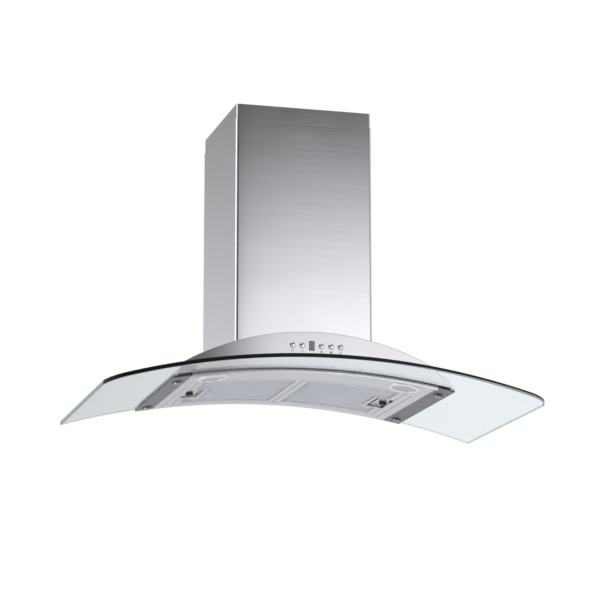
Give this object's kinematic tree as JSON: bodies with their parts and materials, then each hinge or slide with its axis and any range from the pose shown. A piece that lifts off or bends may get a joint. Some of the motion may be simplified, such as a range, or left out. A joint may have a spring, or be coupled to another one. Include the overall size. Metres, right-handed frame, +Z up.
{
  "type": "range hood",
  "caption": "Ceiling-hung range hood: arched glass canopy, brushed steel body with push buttons and display, telescoping square chimney, blower, filters and lamps.",
  "frame": {"origin": "centre of the ceiling plate's top face, where the hood is bolted to the ceiling", "axes": "+Z up into the ceiling, +X along the canopy's width, -Y towards the controls"},
  "size_m": [0.9, 0.5118, 0.6413],
  "materials": {
    "chimney_steel": "stainless steel brushed across its width, satin",
    "body_steel": "horizontally brushed stainless steel, satin",
    "underside_steel": "smooth satin stainless steel",
    "zinc_steel": "zinc-plated folded steel",
    "fastener_steel": "zinc-plated screws and bolts",
    "canopy_glass": "clear bent glass with a polished dark edge",
    "gasket_rubber": "black rubber strip",
    "strip_paint": "dark grey satin paint",
    "cap_chrome": "polished chrome",
    "button_chrome": "polished chrome",
    "filter_aluminium": "satin aluminium frame",
    "mesh_aluminium": "fine expanded aluminium mesh",
    "latch_steel": "satin steel plate",
    "knob_plastic": "black moulded plastic",
    "lamp_chrome": "chromed ring",
    "lamp_glass": "frosted lamp glass",
    "black_plastic": "black moulded plastic",
    "white_plastic": "white moulded plastic",
    "motor_paint": "grey stoved paint",
    "wheel_plastic": "dark glass-filled plastic",
    "board_resin": "green circuit board",
    "display_glass": "dark violet-grey glossy display"
  },
  "bodies": {
    "ceiling_section": {"ceiling_plate": "zinc_steel", "upper_uprights": "zinc_steel", "upper_chimney": "chimney_steel"},
    "canopy": {"lower_uprights": "zinc_steel", "frame_bolts": "fastener_steel", "lower_chimney": "chimney_steel", "cover_screws": "fastener_steel", "mounting_ring": "zinc_steel", "blower_box": "zinc_steel", "outlet_collar": "black_plastic", "damper_pin": "fastener_steel", "scroll_housing": "zinc_steel", "inlet_ring_left": "zinc_steel", "inlet_ring_right": "zinc_steel", "motor": "motor_paint", "motor_bracket": "zinc_steel", "capacitor": "white_plastic", "terminal_box": "white_plastic", "cable_gland": "black_plastic", "body_shell": "body_steel", "front_panel": "body_steel", "rear_panel": "body_steel", "glass_canopy": "canopy_glass", "gasket_upper": "gasket_rubber", "gasket_lower": "gasket_rubber", "clamp_strip_left": "strip_paint", "clamp_strip_right": "strip_paint", "glass_bolts": "fastener_steel", "cap_nuts": "cap_chrome", "underside_tray": "underside_steel", "lamp_bezel_left": "lamp_chrome", "lamp_lens_left": "lamp_glass", "lamp_cup_left": "lamp_chrome", "lamp_bezel_right": "lamp_chrome", "lamp_lens_right": "lamp_glass", "lamp_cup_right": "lamp_chrome", "lamp_transformer": "black_plastic", "control_housing": "black_plastic", "button_guide": "white_plastic", "control_board": "board_resin", "display_module": "black_plastic", "display_window": "display_glass"},
    "impeller": {"impeller": "wheel_plastic", "motor_shaft": "fastener_steel"},
    "damper_left": {"damper_left": "zinc_steel"},
    "damper_right": {"damper_right": "zinc_steel"},
    "filter_left": {"filter_frame_left": "filter_aluminium", "filter_mesh_left": "mesh_aluminium"},
    "filter_right": {"filter_frame_right": "filter_aluminium", "filter_mesh_right": "mesh_aluminium"},
    "latch_left": {"latch_left": "latch_steel", "latch_knob_left": "knob_plastic"},
    "latch_right": {"latch_right": "latch_steel", "latch_knob_right": "knob_plastic"},
    "button_1": {"button_1": "button_chrome"},
    "button_2": {"button_2": "button_chrome"},
    "button_3": {"button_3": "button_chrome"},
    "button_4": {"button_4": "button_chrome"},
    "button_5": {"button_5": "button_chrome"}
  },
  "joints": [
    {"name": "height_slide", "type": "slide", "parent": "ceiling_section", "child": "canopy", "axis": [0, 0, -1], "range_m": [0, 0.33]},
    {"name": "impeller_spin", "type": "hinge", "parent": "canopy", "child": "impeller", "pos_m": [0, -0.032, -0.33], "axis": [1, 0, 0], "continuous": true},
    {"name": "damper_left_flap", "type": "hinge", "parent": "canopy", "child": "damper_left", "pos_m": [0, 0, -0.184], "axis": [0, 1, 0], "range_deg": [0, 75]},
    {"name": "damper_right_flap", "type": "hinge", "parent": "canopy", "child": "damper_right", "pos_m": [0, 0, -0.184], "axis": [0, -1, 0], "range_deg": [0, 75]},
    {"name": "filter_left_tilt", "type": "hinge", "parent": "canopy", "child": "filter_left", "pos_m": [-0.0206, 0, -0.5725], "axis": [0, -1, 0], "range_deg": [0, 60]},
    {"name": "filter_right_tilt", "type": "hinge", "parent": "canopy", "child": "filter_right", "pos_m": [0.0206, 0, -0.5725], "axis": [0, 1, 0], "range_deg": [0, 60]},
    {"name": "latch_left_slide", "type": "slide", "parent": "filter_left", "child": "latch_left", "axis": [0.9911, 0, 0.1335], "range_m": [0, 0.006], "stiffness_N_per_m": 300},
    {"name": "latch_right_slide", "type": "slide", "parent": "filter_right", "child": "latch_right", "axis": [-0.9911, 0, 0.1335], "range_m": [0, 0.006], "stiffness_N_per_m": 300},
    {"name": "button_1_press", "type": "slide", "parent": "canopy", "child": "button_1", "axis": [0, 1, 0], "range_m": [0, 0.0015], "stiffness_N_per_m": 400},
    {"name": "button_2_press", "type": "slide", "parent": "canopy", "child": "button_2", "axis": [0, 1, 0], "range_m": [0, 0.0015], "stiffness_N_per_m": 400},
    {"name": "button_3_press", "type": "slide", "parent": "canopy", "child": "button_3", "axis": [0, 1, 0], "range_m": [0, 0.0015], "stiffness_N_per_m": 400},
    {"name": "button_4_press", "type": "slide", "parent": "canopy", "child": "button_4", "axis": [0, 1, 0], "range_m": [0, 0.0015], "stiffness_N_per_m": 400},
    {"name": "button_5_press", "type": "slide", "parent": "canopy", "child": "button_5", "axis": [0, 1, 0], "range_m": [0, 0.0015], "stiffness_N_per_m": 400}
  ]
}
